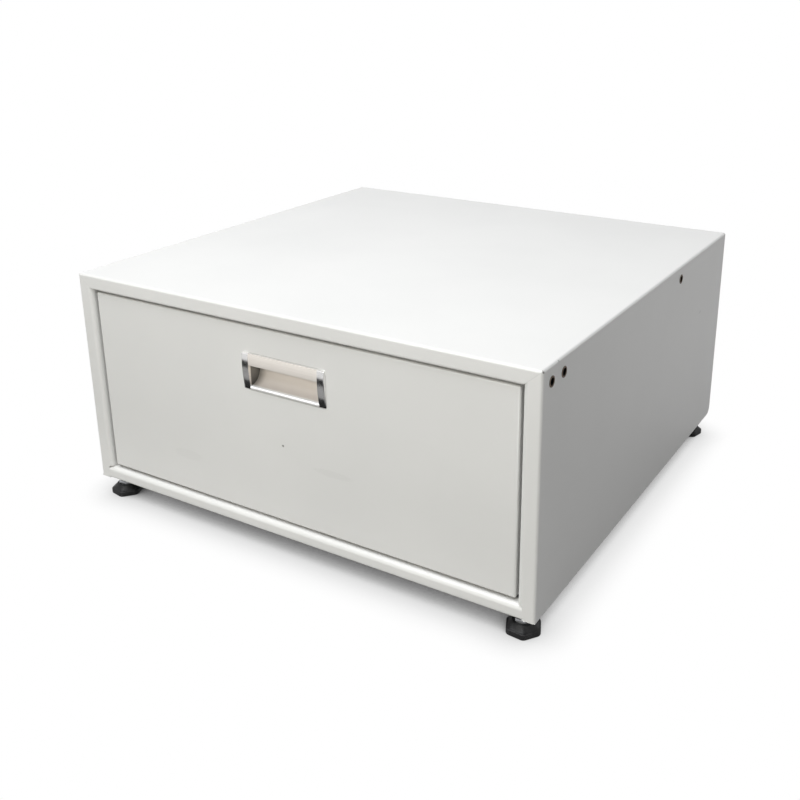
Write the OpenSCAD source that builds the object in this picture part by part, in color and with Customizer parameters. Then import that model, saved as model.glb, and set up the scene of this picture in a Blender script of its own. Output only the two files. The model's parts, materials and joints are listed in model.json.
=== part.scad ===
// Washer pedestal with one full-width drawer on ball-bearing slides and four levelling feet.
// Millimetres. The origin is the bottom centre, on the floor. +Z is up and the drawer opens towards -Y.

/* [Case] */
// Width of the case over its side panels
case_w = 600; // [540:1:700]
// Depth of the case from the frame's face to its rear edge
case_d = 574; // [568:1:680]
// Height of the case without its feet
case_h = 264.5; // [240:0.5:340]
// Thickness of the case's sheet
case_t = 1.2; // [1:0.1:1.5]
// Outer radius of the case's bends
bend_r = 3; // [2.5:0.1:4]
// Outer radius of the rounder inner bends of the stiles and of the bottom rails
frame_r = 6; // [4:0.5:7]
// Outer radius of the top rail's inner bend
top_rail_r = 2.5; // [2:0.1:4]
// Radius of the sides' lower rear corners
rear_corner_r = 10; // [4:0.5:10]
// Width of the frame's two stiles, seen from the front
stile_w = 20; // [16:0.5:26]
// Height of the frame's top rail, seen from the front
top_rail_h = 17.5; // [12:0.5:26]
// Height of the frame's bottom rail, seen from the front
bottom_rail_h = 15.5; // [14:0.5:24]
// Depth of the frame's inner return, behind its face
return_d = 12; // [8:0.5:14]
// Width of the sills along the bottom of the sides, with the side's own sheet
sill_w = 32; // [28:0.5:40]
// Height of the sills
sill_h = 14; // [8:0.5:18]
// Depth of the bottom rails' lower flanges
rail_flange_d = 42; // [36:1:60]
// Height of the rear bottom rail
rear_rail_h = 30; // [20:1:60]
// How far the back panel lies inside the rear edge
back_inset = 6; // [3:0.5:10]
// Thickness of the back panel
back_t = 1; // [0.8:0.1:1.5]
// Depth of the back panel's folded edge
back_fold_d = 12; // [8:1:20]
// Gap that a welded-in piece keeps from a flange beside it
weld_gap = 0.5; // [0.3:0.1:1]

/* [Top stiffeners] */
// Height of the three channels under the top
stiffener_h = 14; // [8:1:20]
// Width of a channel's crown
stiffener_w = 40; // [25:1:55]
// Width of a channel's welding flange
stiffener_flange_w = 14; // [8:1:20]
// Thickness of a channel's sheet
stiffener_t = 1.5; // [1:0.1:2]
// Distance from the frame's face and the rear edge to the outer channels' centres
stiffener_inset = 110; // [85:1:145]

/* [Side threads] */
// Diameter of the hole through each threaded insert, at the thread's crests
insert_hole_d = 6.8; // [5:0.1:7.5]
// Diameter of an insert's sleeve
insert_sleeve_d = 10; // [9:0.1:11]
// Diameter of an insert's rim
insert_rim_d = 11.4; // [11.2:0.1:14]
// Thickness of an insert's rim, on the side panel
insert_rim_t = 0.5; // [0.3:0.1:1.2]
// Length of an insert's sleeve behind the rim
insert_len = 14; // [10:0.5:20]
// Depth of the inserts below the top
insert_drop = 16.5; // [12:0.5:20]
// Distance of the front insert from the frame's face
insert_y1 = 19.4; // [18:0.1:30]
// Distance of the second insert from the frame's face
insert_y2 = 46.3; // [40:0.1:70]
// Distance of the rear insert from the rear edge
insert_rear = 185.7; // [178:0.1:220]

/* [Feet] */
// Height of the case above the floor
foot_h = 24.5; // [23:0.5:32]
// Distance of the feet from the sides
foot_inset_x = 21; // [19.5:0.5:26]
// Distance of the front feet from the frame's face
foot_inset_front = 19.5; // [19.5:0.5:30]
// Distance of the rear feet from the rear edge
foot_inset_rear = 27; // [24:0.5:34]
// Distance across the flats of a foot pad
pad_af = 35; // [28:0.5:36]
// Radius of a foot pad's corners
pad_corner_r = 6; // [3:0.5:10]
// Height of a foot pad's hexagonal rim
pad_rim_h = 6.5; // [4:0.5:8]
// Whole height of a foot pad
pad_h = 12; // [10:0.5:12.5]
// Diameter of the pad's top, round the stud
pad_boss_d = 24; // [22:0.5:28]
// Thickness of the pad under the stud
pad_floor = 3; // [2:0.5:4]
// Diameter of the levelling stud
stud_d = 10; // [8:0.5:11]
// Height of the stud's end above the case's bottom
stud_rise = 13; // [12:0.5:14]
// Height of the stud's hexagonal collar
collar_h = 4; // [3:0.5:4.5]
// Distance across the flats of the nuts and the collar
nut_af = 17; // [15:0.5:18.5]
// Height of a lock nut
lock_nut_h = 5; // [4:0.5:6]
// Height of a weld nut
weld_nut_h = 8; // [6:0.5:9]
// Side of a square foot plate
foot_plate_w = 46; // [42:1:60]
// Thickness of a foot plate
foot_plate_t = 3; // [2:0.5:4]
// Radial clearance of the stud in its nuts and pad
stud_clear = 0.05; // [0.02:0.01:0.1]
// Radial clearance of the stud in sheet and plate
stud_hole_clear = 0.6; // [0.4:0.1:1]

/* [Drawer] */
// Gap round the drawer front
front_gap = 3.5; // [2.5:0.5:6]
// How far the drawer front lies behind the frame's face
front_recess = 4; // [2:0.5:8]
// Thickness of the drawer front
front_d = 20; // [19:0.5:26]
// Thickness of the drawer front's skin and liner
skin_t = 1; // [0.8:0.1:1.2]
// Outer radius of the drawer front's edges
skin_r = 2.5; // [1.8:0.1:4]
// Depth of the liner's folded edge
liner_fold_d = 10; // [6:0.5:14]
// Length of the drawer's tub
tub_len = 500; // [497:1:505]
// Height of the tub's sides
tub_h = 165; // [140:1:180]
// Height of the tub's bottom above the case's bottom
tub_rise = 22; // [20:0.5:30]
// Thickness of the tub's sheet
tub_t = 1; // [0.8:0.1:1.5]
// Outer radius of the tub's lower bends
tub_bend_r = 3; // [2:0.1:6]
// Height of the folded-over top edge of the tub's sides
hem_h = 10; // [6:0.5:16]
// Width of the tub's front flanges
tub_flange_w = 14; // [12:0.5:20]
// Height of the drawer's back
drawer_back_h = 145; // [100:1:150]
// Radius of the stiffening beads pressed into the tub's bottom
bead_r = 14; // [10:0.5:20]
// Height of those beads
bead_h = 3; // [2:0.5:5]
// Spacing of those beads
bead_spacing = 130; // [100:1:165]

/* [Slides] */
// Length of the outer slide members
slide_len = 500; // [498:1:505]
// Distance of the slides behind the frame's face
slide_y = 30; // [30:0.5:32]
// Height of the slides' centre above the case's bottom
slide_z = 100; // [90:1:110]
// Gap between the stiles and the slide members that pass them
slide_pass = 1.2; // [0.6:0.1:2]
// Thickness of a slide, from its outer to its inner web
slide_w = 12.7; // [12.7:0.1:13.5]
// Height of the outer slide member
slide_h = 45.7; // [44:0.1:53]
// Thickness of the slides' webs
web_t = 1.2; // [1:0.05:1.25]
// Thickness of the slides' flanges at the ball tracks
track_t = 1.6; // [1.5:0.05:1.9]
// Depth of a ball track in its flange
track_d = 0.6; // [0.4:0.05:0.7]
// Diameter of the slides' balls
ball_d = 3.5; // [3.2:0.1:3.7]
// Clearance between a ball and its track
ball_clear = 0.3; // [0.25:0.01:0.35]
// Balls in one row of a cage
balls_per_row = 10; // [6:1:12]
// Length of a ball cage
cage_len = 200; // [160:1:220]
// Thickness of a ball cage
cage_t = 0.7; // [0.5:0.05:0.8]
// Drawer travel
travel = 480; // [420:1:480]
// Height of a slide bracket's crown
bracket_h = 54; // [50:1:56]
// Width of a slide bracket's welding flange
bracket_flange_w = 14; // [10:0.5:20]
// Thickness of a slide bracket's sheet
bracket_t = 1.5; // [1:0.1:2]

/* [Handle] */
// Length of the handle over its end caps
handle_len = 110; // [90:1:160]
// Height of the handle
handle_h = 42; // [40:0.5:46]
// Drop from the drawer front's upper edge to the handle
handle_drop = 31; // [20:0.5:60]
// Width of an end cap
cap_w = 9; // [9:0.5:12]
// How far the handle's hood stands out of the drawer front
hood_proud = 3.2; // [3:0.1:4.5]
// How far the end caps stand out of the drawer front at their foot
foot_proud = 0.4; // [0.2:0.1:1]
// How far the handle's lower lip stands out of the drawer front
lip_proud = 1.7; // [1.2:0.1:2.4]
// Height of the hood, seen from the front
hood_h = 13.5; // [10:0.5:16]
// Thickness of the hood
hood_t = 1.5; // [1.2:0.1:1.8]
// Height of the handle's lower lip
lip_h = 3.5; // [2.5:0.1:4]
// Radius of the finger hollow
hollow_r = 16; // [14:0.1:16]
// Distance of the hollow's axis in front of the drawer front's face
hollow_axis_out = 0.2; // [0:0.1:0.4]
// Thickness of the hollow's wall
hollow_t = 1.5; // [1:0.1:2]
// How far the end caps overlap the handle's body all round
cap_lap = 0.5; // [0.2:0.1:1]
// Width of the caps' tongues behind the drawer front
tongue_w = 3; // [2:0.1:3.5]
// Gap of the hollow and the tongues in the drawer front's cut-out
cutout_gap = 0.5; // [0.3:0.1:1]

/* [Screws and rivets] */
// Diameter of the drawer's screws
screw_d = 4; // [3:0.1:5]
// Diameter of their heads
screw_head_d = 7; // [6:0.1:8]
// Height of their heads
screw_head_h = 2.2; // [1.6:0.1:2.6]
// Diameter of the handle's screws
handle_screw_d = 2.8; // [2:0.1:3]
// Diameter of their heads
handle_head_d = 5; // [4:0.1:5.4]
// Length of the handle's screws in the end caps
handle_screw_len = 1.6; // [1:0.1:1.8]
// Diameter of the rivets
rivet_d = 3.2; // [2.4:0.1:4]
// Diameter of the rivets' heads
rivet_head_d = 6; // [5:0.1:7]
// Height of the rivets' heads
rivet_head_h = 1; // [0.6:0.1:1.4]
// Radial clearance of screws and rivets in their holes
hole_clear = 0.1; // [0.05:0.01:0.2]

/* [Hidden] */
$fn = 48;
eps = 0.01;
front_over = max(0, hood_proud - front_recess);
y_front = -(case_d - front_over)/2;
y_back = y_front + case_d;
z_case = foot_h;
z_top = foot_h + case_h;
half_w = case_w/2;
sill_in = half_w - sill_w;
// Longer than any folded edge is deep
far = case_h;
// Slides, measured across their thickness from the outer web
ball_r = ball_d/2;
track_r = ball_r + ball_clear;
half_gap = track_r - track_d;
outer_ball_z = slide_h/2 - track_t - half_gap;
mid_h = 2*(outer_ball_z - half_gap);
inner_ball_z = mid_h/2 - track_t - half_gap;
inner_h = 2*(inner_ball_z - half_gap);
cage_gap = 0.4;
outer_cage_x = web_t + cage_gap;
mid_x = outer_cage_x + cage_t + cage_gap;
inner_cage_x = mid_x + web_t + cage_gap;
inner_x = inner_cage_x + cage_t + cage_gap;
outer_ball_x = mid_x + 3;
inner_ball_x = inner_x + 2.4;
outer_flange_x = outer_ball_x + 3;
mid_flange_x = slide_w - web_t - cage_gap;
slide_inset = stile_w + slide_pass - mid_x;
// Drawer front
front_w = case_w - 2*stile_w - 2*front_gap;
front_z = z_case + bottom_rail_h + front_gap;
front_h = case_h - bottom_rail_h - top_rail_h - 2*front_gap;
y_skin = y_front + front_recess;
y_tub = y_skin + front_d;
// Tub
tub_half = half_w - slide_inset - slide_w;
tub_z = z_case + tub_rise;
y_tub_back = y_tub + tub_len;
// Slides along their length
y_slide = y_front + slide_y;
z_slide = z_case + slide_z;
member_step = 5;
mid_len = slide_len - 3*member_step;
inner_len = slide_len - 2*member_step;
cage_y = y_slide + travel/4 + 3*member_step;
ball_pitch = cage_len/balls_per_row;
slide_holes = [0.08, 0.5, 0.92];
// Handle
handle_z = front_z + front_h - handle_drop - handle_h;
body_half = handle_len/2 - cap_w;
hollow_z = lip_h + hollow_r + cap_lap;
cap_face_z = handle_h - hood_h;
cap_drop = hood_proud - foot_proud;
cap_face_r = (pow(cap_face_z, 2) + pow(cap_drop, 2))/(2*cap_drop);
handle_screw_x = body_half + tongue_w + cutout_gap + handle_head_d/2 + 0.2;
handle_screw_z = [handle_h/3, handle_h - 6];
// Feet
feet = [[-1, y_front + foot_inset_front], [1, y_front + foot_inset_front],
        [-1, y_back - foot_inset_rear], [1, y_back - foot_inset_rear]];
foot_x = half_w - foot_inset_x;
// Radius at the foot of a pad's taper
pad_shoulder_r = pad_af/2 - 1;
// Each pad swivels on its stud and stands as it happens to
pad_turns = [-10, -65, 20, -44];
insert_ys = [y_front + insert_y1, y_front + insert_y2, y_back - insert_rear];
insert_z = z_top - insert_drop;

// ---- Helpers ----

// Extrudes a section drawn as (x, z) between two depths
module along_y(y0, y1) {
    translate([0, y1, 0]) rotate([90, 0, 0]) linear_extrude(height = y1 - y0) children();
}

// Extrudes a section drawn as (y, z) between two widths
module along_x(x0, x1) {
    translate([x0, 0, 0]) rotate([90, 0, 90]) linear_extrude(height = x1 - x0) children();
}

// Rectangle from one corner to the other with round corners
module round_rect(a, b, r) {
    translate([a.x + r, a.y]) square([b.x - a.x - 2*r, b.y - a.y]);
    translate([a.x, a.y + r]) square([b.x - a.x, b.y - a.y - 2*r]);
    for (x = [a.x + r, b.x - r], y = [a.y + r, b.y - r]) translate([x, y]) circle(r);
}

// Sheet bent along a rectangle: its outer outline less its inner one
module bent_sheet(a, b, r, t) {
    difference() {
        round_rect(a, b, r);
        round_rect(a + [t, t], b - [t, t], r - t);
    }
}

// Straight length of a section (depth, -inwards), centred on x. Its ends are mitred where lo and hi are 1,
// from nothing at its outer edge to the given run across its width
module mitred(len, lo, hi, width, run) {
    slope = run/width;
    intersection() {
        along_x(-len/2, len/2) children();
        along_y(-eps, far) polygon([[-len/2 - lo*slope, 1], [len/2 + hi*slope, 1],
                                    [len/2 - hi*run, -width], [-len/2 + lo*run, -width]]);
    }
}

// Section of a folded edge: outer bend, face, an inner bend of radius r and a return
module frame_section(face_w, r) {
    intersection() {
        bent_sheet([0, -face_w], [far, 0], bend_r, case_t);
        translate([0, -face_w/2]) square([bend_r, face_w/2]);
    }
    intersection() {
        bent_sheet([0, -face_w], [far, 0], r, case_t);
        translate([0, -face_w]) square([return_d, face_w/2]);
    }
}

// Shallow tray: a face at y = 0 with edges folded back to the given depth, standing on z = 0
module tray(w, h, depth, r, t, foot) {
    difference() {
        tray_block(w, h, depth, r, 0, r/2 + t, foot);
        tray_block(w, h, depth + 1, r, t, r/2 + t, foot);
    }
}

// Block with round front edges and upright corners, shrunk by g. Without a foot it goes on below
module tray_block(w, h, depth, r, g, corner_r, foot) {
    low = foot ? g : (g > 0 ? -1 : 0);
    intersection() {
        along_x(-w/2 - 1, w/2 + 1) difference() {
            translate([g, low]) square([depth - g, h - g - low]);
            edge_cut(g, h - g, r - g, 1);
            if (foot) edge_cut(g, low, r - g, -1);
        }
        translate([0, 0, low]) linear_extrude(height = h - g - low) difference() {
            translate([-w/2 + g, g]) square([w - 2*g, depth - g]);
            for (m = [0, 1]) mirror([m, 0]) rotate(90) mirror([0, 1]) edge_cut(g, w/2 - g, r - g, 1);
        }
        along_y(g, depth) corner_outline([-w/2 + g, low], [w/2 - g, h - g], corner_r - g, foot);
    }
}

// Square less a quarter circle at a front edge, up (1) or down (-1) at the height z
module edge_cut(y, z, r, up) {
    difference() {
        translate([y - 1, up > 0 ? z - r : z - 1]) square([r + 1, r + 1]);
        translate([y + r, z - up*r]) circle(r);
    }
}

// Rectangle with round upper corners, and round lower ones where foot is set
module corner_outline(a, b, r, foot) {
    if (foot) round_rect(a, b, r);
    else {
        translate(a) square([b.x - a.x, b.y - a.y - r]);
        translate([a.x + r, b.y - 2*r]) square([b.x - a.x - 2*r, 2*r]);
        for (x = [a.x + r, b.x - r]) translate([x, b.y - r]) circle(r);
    }
}

// Half-round bead raised from a sheet whose top is at 0
module bead_solid() {
    intersection() {
        translate([0, bead_h - bead_r]) circle(bead_r);
        translate([-bead_r, -tub_t]) square([2*bead_r, bead_h + tub_t]);
    }
}

module bead_hollow() {
    translate([0, bead_h - bead_r]) circle(bead_r - tub_t);
}

// Hexagonal prism by its distance across flats
module hexagon(af, h) {
    cylinder(r = af/2/cos(30), h = h, $fn = 6);
}

// Screw or rivet along -x, its head on the face at x = 0
module headed_pin(d, head_d, head_h, len) {
    rotate([0, 90, 0]) cylinder(d = head_d, h = head_h);
    rotate([0, -90, 0]) cylinder(d = d, h = len);
}

module on_side(side) {
    mirror([side < 0 ? 0 : 1, 0, 0]) children();
}

// ---- Case ----

// Top sheet with its two side bends
module case_top() {
    color("whitesmoke") along_y(y_front + bend_r, y_back) intersection() {
        bent_sheet([-half_w, z_case], [half_w, z_top], bend_r, case_t);
        translate([-half_w, z_top - bend_r]) square([case_w, bend_r]);
    }
}

// Side sheet with a round lower rear corner
module case_side(side) {
    color("whitesmoke") on_side(side) difference() {
        translate([-half_w, y_front + bend_r, z_case]) cube([case_t, case_d - bend_r, case_h - bend_r]);
        for (y = insert_ys) translate([-half_w - 1, y, insert_z]) rotate([0, 90, 0])
            cylinder(d = insert_sleeve_d + 2*hole_clear, h = case_t + 2);
        translate([-half_w - 1, y_back - rear_corner_r, z_case + rear_corner_r]) difference() {
            translate([0, 0, -rear_corner_r - 1]) cube([case_t + 2, rear_corner_r + 1, rear_corner_r + 1]);
            translate([-1, 0, 0]) rotate([0, 90, 0]) cylinder(r = rear_corner_r, h = case_t + 4);
        }
    }
}

// What the frame's upper corners are rounded to
module frame_outline() {
    along_y(y_front - 1, y_back) corner_outline([-half_w, z_case], [half_w, z_top], bend_r, false);
}

module frame_top_rail() {
    color("whitesmoke") intersection() {
        translate([0, y_front, z_top]) mitred(case_w, 1, 1, top_rail_h, stile_w)
            frame_section(top_rail_h, top_rail_r);
        frame_outline();
    }
}

// Upright of the frame. Its inner bend and return stop above the bottom rail, and its foot is closed
module frame_stile(side) {
    color("whitesmoke") intersection() {
        on_side(side) translate([-half_w, y_front, 0]) {
            difference() {
                translate([0, 0, z_case + case_h/2]) rotate([0, -90, 0])
                    mitred(case_h, 0, 1, stile_w, top_rail_h) frame_section(stile_w, frame_r);
                translate([stile_w - frame_r, -1, z_case - 1])
                    cube([frame_r + 1, return_d + 2, bottom_rail_h + weld_gap + 1]);
            }
            translate([0, case_t/2, z_case]) cube([stile_w - frame_r, bend_r - case_t/2, case_t]);
        }
        frame_outline();
    }
}

// Angle along the bottom of a side, which carries the feet
module sill(side) {
    color("gainsboro") difference() {
        on_side(side) along_y(y_front + bend_r + weld_gap, y_back - rear_corner_r) intersection() {
            bent_sheet([-half_w + case_t, z_case], [half_w, z_top], bend_r, case_t);
            translate([-half_w, z_case]) square([sill_w, sill_h]);
        }
        for (f = feet) translate([f[0]*foot_x, f[1], z_case - 1])
            cylinder(d = stud_d + 2*stud_hole_clear, h = case_t + 2);
    }
}

// Channel with a face, a round upper bend and flange, and a lower flange between the sills
module bottom_rail(half_len, h) {
    along_x(-half_len, half_len) {
        intersection() {
            bent_sheet([0, 0], [far, h], bend_r, case_t);
            square([bend_r, h/2]);
        }
        intersection() {
            bent_sheet([0, 0], [far, h], frame_r, case_t);
            translate([0, h/2]) square([return_d, h/2]);
        }
    }
    along_x(-sill_in + weld_gap, sill_in - weld_gap) intersection() {
        bent_sheet([0, 0], [far, h], bend_r, case_t);
        square([rail_flange_d, bend_r]);
    }
}

module front_bottom_rail() {
    color("whitesmoke") translate([0, y_front, z_case])
        bottom_rail(half_w - stile_w + frame_r, bottom_rail_h);
}

module rear_bottom_rail() {
    color("whitesmoke") translate([0, y_back - back_inset - back_t, z_case]) mirror([0, 1, 0])
        bottom_rail(half_w - case_t - bend_r - weld_gap, rear_rail_h);
}

module back_panel() {
    foot = sill_h + weld_gap;
    color("gainsboro") translate([0, y_back - back_inset, z_case + foot]) mirror([0, 1, 0])
        tray(case_w - 2*case_t, case_h - case_t - foot, back_fold_d, bend_r, back_t, false);
}

// Hat section of sheet t thick: flanges of the given width at 0, crown w wide at -h
module hat_section(w, h, flange, t) {
    x0 = w/2 - t;
    x1 = w/2;
    x2 = w/2 + flange;
    polygon([[-x2, 0], [-x0, 0], [-x0, t - h], [x0, t - h], [x0, 0], [x2, 0],
             [x2, -t], [x1, -t], [x1, -h], [-x1, -h], [-x1, -t], [-x2, -t]]);
}

// Hat-shaped channel across the top's underside
module top_stiffener(y) {
    half = half_w - bend_r - weld_gap;
    color("gainsboro") translate([0, y, z_top - case_t]) along_x(-half, half)
        hat_section(stiffener_w, stiffener_h, stiffener_flange_w, stiffener_t);
}

// Square plate on the sill and the rail's lower flange, over each foot
module foot_plate(i) {
    rear = i > 1;
    y0 = rear ? y_back - rear_corner_r - weld_gap - foot_plate_w : y_front + bend_r + weld_gap;
    color("silver") difference() {
        on_side(feet[i][0]) translate([-half_w + case_t + bend_r + weld_gap, y0, z_case + case_t])
            cube([foot_plate_w, foot_plate_w, foot_plate_t]);
        translate([feet[i][0]*foot_x, feet[i][1], z_case])
            cylinder(d = stud_d + 2*stud_hole_clear, h = 3*foot_plate_t);
    }
}

// Four nuts on the studs, standing on the given height
module foot_nuts(z, h) {
    for (f = feet) translate([f[0]*foot_x, f[1], z]) difference() {
        hexagon(nut_af, h);
        translate([0, 0, -1]) cylinder(d = stud_d + 2*stud_clear, h = h + 2);
    }
}

module foot_weld_nuts() {
    color("silver") foot_nuts(z_case + case_t + foot_plate_t, weld_nut_h);
}

module foot_lock_nuts() {
    color("silver") foot_nuts(z_case - lock_nut_h, lock_nut_h);
}

module side_thread_inserts() {
    color("darkgoldenrod") for (s = [-1, 1], y = insert_ys) on_side(s)
        translate([-half_w, y, insert_z]) rotate([0, 90, 0]) difference() {
            union() {
                translate([0, 0, -insert_rim_t]) cylinder(d = insert_rim_d, h = insert_rim_t);
                translate([0, 0, -insert_rim_t/2]) cylinder(d = insert_sleeve_d, h = insert_len + insert_rim_t/2);
            }
            translate([0, 0, -insert_rim_t - 1]) cylinder(d = insert_hole_d, h = insert_len + insert_rim_t + 2);
        }
}

// ---- Slides ----

// Places a slide's section: x across its thickness from the outer web, z from its centre
module slide_place(side) {
    on_side(side) translate([-half_w + slide_inset, 0, z_slide]) children();
}

// Channel between two thicknesses with its web on the low or the high side
module slide_channel(x0, x1, h, web_low) {
    difference() {
        round_rect([x0, -h/2], [x1, h/2], web_t);
        translate([web_low ? x0 + web_t : x0 - 1, -h/2 + track_t]) square([x1 - x0 - web_t + 1, h - 2*track_t]);
        translate([web_low ? x1 - web_t : x0 - 1, -h/2 - 1]) square([web_t + 1, h + 2]);
    }
}

module ball_tracks(x, z) {
    for (s = [-1, 1]) translate([x, s*z]) circle(track_r);
}

module slide_bracket(side) {
    color("silver") difference() {
        on_side(side) translate([0, 0, z_slide]) along_y(y_slide + member_step, y_slide + slide_len - member_step)
            translate([-half_w + case_t, 0]) rotate(90)
                hat_section(bracket_h, slide_inset - case_t, bracket_flange_w, bracket_t);
        slide_rivet_holes(side, rivet_d + 2*hole_clear);
    }
}

module slide_rivet_holes(side, d) {
    for (f = slide_holes) slide_place(side) translate([0, y_slide + f*slide_len, 0])
        rotate([0, -90, 0]) translate([0, 0, -web_t - 1]) cylinder(d = d, h = 2*web_t + bracket_t + 1);
}

module slide_outer(side) {
    color("lightsteelblue") difference() {
        slide_place(side) along_y(y_slide, y_slide + slide_len) difference() {
            slide_channel(0, outer_flange_x + web_t, slide_h, true);
            ball_tracks(outer_ball_x, outer_ball_z);
        }
        slide_rivet_holes(side, rivet_head_d + 2*hole_clear);
    }
}

// Flush-headed rivets through the outer members' webs into their brackets
module slide_rivets() {
    color("silver") for (s = [-1, 1], f = slide_holes) slide_place(s)
        translate([0, y_slide + f*slide_len, 0]) rotate([0, 90, 0]) {
            cylinder(d = rivet_head_d, h = web_t);
            translate([0, 0, -bracket_t]) cylinder(d = rivet_d, h = bracket_t + web_t/2);
            translate([0, 0, -bracket_t - rivet_head_h]) cylinder(d = rivet_head_d, h = rivet_head_h);
        }
}

module slide_middle(side) {
    y0 = y_slide + member_step/2;
    color("lightsteelblue") slide_place(side) along_y(y0, y0 + mid_len) difference() {
        slide_channel(mid_x, mid_flange_x + web_t, mid_h, true);
        ball_tracks(outer_ball_x, outer_ball_z);
        ball_tracks(inner_ball_x, inner_ball_z);
    }
}

module slide_inner(side) {
    color("lightsteelblue") difference() {
        slide_place(side) along_y(y_slide, y_slide + inner_len) difference() {
            slide_channel(inner_x - web_t, slide_w, inner_h, false);
            ball_tracks(inner_ball_x, inner_ball_z);
        }
        for (f = slide_holes) slide_place(side) translate([0, y_slide + f*inner_len, 0])
            rotate([0, 90, 0]) cylinder(d = screw_d + 2*hole_clear, h = slide_w + 1);
    }
}

// Thin channel that carries a row of balls above and below
module ball_cage(side, x0, x1, ball_x, ball_z) {
    color("darkgray") slide_place(side) difference() {
        along_y(cage_y, cage_y + cage_len) difference() {
            translate([x0, -ball_z - cage_t/2]) square([x1 - x0, 2*ball_z + cage_t]);
            translate([x0 + cage_t, -ball_z + cage_t/2]) square([x1 - x0, 2*ball_z - cage_t]);
        }
        for (i = [0:balls_per_row - 1]) translate([ball_x, cage_y + (i + 0.5)*ball_pitch, -ball_z - cage_t])
            cylinder(r = ball_r + hole_clear, h = 2*(ball_z + cage_t));
    }
}

module ball_rows(side, ball_x, ball_z) {
    color("dimgray") slide_place(side) for (i = [0:balls_per_row - 1], s = [-1, 1])
        translate([ball_x, cage_y + (i + 0.5)*ball_pitch, s*ball_z]) sphere(ball_r, $fn = 24);
}

module outer_cage(side) {
    ball_cage(side, outer_cage_x, outer_flange_x, outer_ball_x, outer_ball_z);
}

module inner_cage(side) {
    ball_cage(side, inner_cage_x, mid_flange_x - cage_gap, inner_ball_x, inner_ball_z);
}

// ---- Drawer ----

module drawer_front_skin() {
    color("whitesmoke") difference() {
        translate([0, y_skin, front_z]) tray(front_w, front_h, front_d, skin_r, skin_t, true);
        half = body_half + tongue_w + cutout_gap;
        low = hollow_z - hollow_r - hollow_t - cutout_gap;
        high = hollow_z + hollow_r + hollow_t + cutout_gap;
        translate([-half, y_skin - 1, handle_z + low]) cube([2*half, skin_t + 2, high - low]);
        handle_screw_holes();
    }
}

module drawer_front_liner() {
    w = front_w - 2*skin_t;
    h = front_h - 2*skin_t;
    color("gainsboro") difference() {
        translate([0, y_tub, front_z + skin_t]) mirror([0, 1, 0])
            tray(w, h, liner_fold_d, skin_r, skin_t, true);
        front_screw_places() rotate([90, 0, 0]) translate([0, 0, -1])
            cylinder(d = screw_d + 2*hole_clear, h = skin_t + 2);
    }
}

module drawer_tub() {
    color("whitesmoke") difference() {
        union() {
            along_y(y_tub, y_tub_back) difference() {
                union() {
                    difference() {
                        bent_sheet([-tub_half, tub_z], [tub_half, tub_z + 2*tub_h], tub_bend_r, tub_t);
                        translate([-tub_half - 1, tub_z + tub_h - tub_t]) square([2*tub_half + 2, 2*tub_h]);
                    }
                    for (s = [0, 1]) mirror([s, 0]) hem();
                    for (i = [-1:1]) translate([i*bead_spacing, tub_z + tub_t]) bead_solid();
                }
                for (i = [-1:1]) translate([i*bead_spacing, tub_z + tub_t]) bead_hollow();
            }
            for (s = [-1, 1]) on_side(s) translate([-tub_half + tub_t/2, y_tub, tub_z + tub_bend_r])
                cube([tub_flange_w, tub_t, tub_h - hem_h - tub_bend_r]);
        }
        for (s = [-1, 1], f = slide_holes) slide_place(s) translate([slide_w - 1, y_slide + f*inner_len, 0])
            rotate([0, 90, 0]) cylinder(d = screw_d + 2*hole_clear, h = tub_t + 2);
        front_screw_places() rotate([-90, 0, 0]) translate([0, 0, -1])
            cylinder(d = screw_d + 2*hole_clear, h = tub_t + 2);
        back_rivet_places() rotate([0, 90, 0]) translate([0, 0, -1])
            cylinder(d = rivet_d + 2*hole_clear, h = 3*tub_t + 2);
    }
}

// Edge folded over on the inside of the tub's sides, with a round top
module hem() {
    translate([-tub_half, tub_z + tub_h - hem_h]) square([2*tub_t, hem_h - tub_t]);
    translate([-tub_half + tub_t, tub_z + tub_h - tub_t]) circle(tub_t);
}

module drawer_back() {
    w = 2*(tub_half - tub_t);
    color("whitesmoke") difference() {
        translate([0, y_tub_back, tub_z + tub_t + bead_h + weld_gap]) mirror([0, 1, 0])
            tray(w, drawer_back_h, tub_flange_w, tub_bend_r, tub_t, false);
        back_rivet_places() rotate([0, 90, 0]) translate([0, 0, -1])
            cylinder(d = rivet_d + 2*hole_clear, h = 3*tub_t + 2);
    }
}

// Places on the tub's sides where the back's folds are riveted, x pointing inwards
module back_rivet_places() {
    for (s = [-1, 1], z = [0.25, 0.75]) on_side(s)
        translate([-tub_half, y_tub_back - tub_flange_w/2 - tub_bend_r/2, tub_z + z*drawer_back_h]) children();
}

// Places on the liner's back where the tub's front flanges are screwed
module front_screw_places() {
    for (s = [-1, 1], z = [0.15, 0.5, 0.85]) on_side(s)
        translate([-tub_half + tub_flange_w/2 + tub_t, y_tub, tub_z + z*(tub_h - hem_h)]) children();
}

module drawer_back_rivets() {
    color("silver") back_rivet_places() {
        rotate([0, 180, 0]) headed_pin(rivet_d, rivet_head_d, rivet_head_h, 2*tub_t);
        translate([2*tub_t, 0, 0]) rotate([0, 90, 0]) cylinder(d = rivet_head_d, h = rivet_head_h);
    }
}

module drawer_front_screws() {
    color("silver") front_screw_places() translate([0, tub_t, 0]) rotate([0, 0, 90])
        headed_pin(screw_d, screw_head_d, screw_head_h, 2*tub_t + 3);
}

module drawer_slide_screws() {
    color("silver") for (s = [-1, 1], f = slide_holes) slide_place(s)
        translate([slide_w - web_t, y_slide + f*inner_len, 0]) rotate([0, 180, 0])
            headed_pin(screw_d, screw_head_d, screw_head_h, web_t + tub_t + 3);
}

// ---- Handle: section in (depth, height) with the drawer front's face at depth 0 ----

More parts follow.
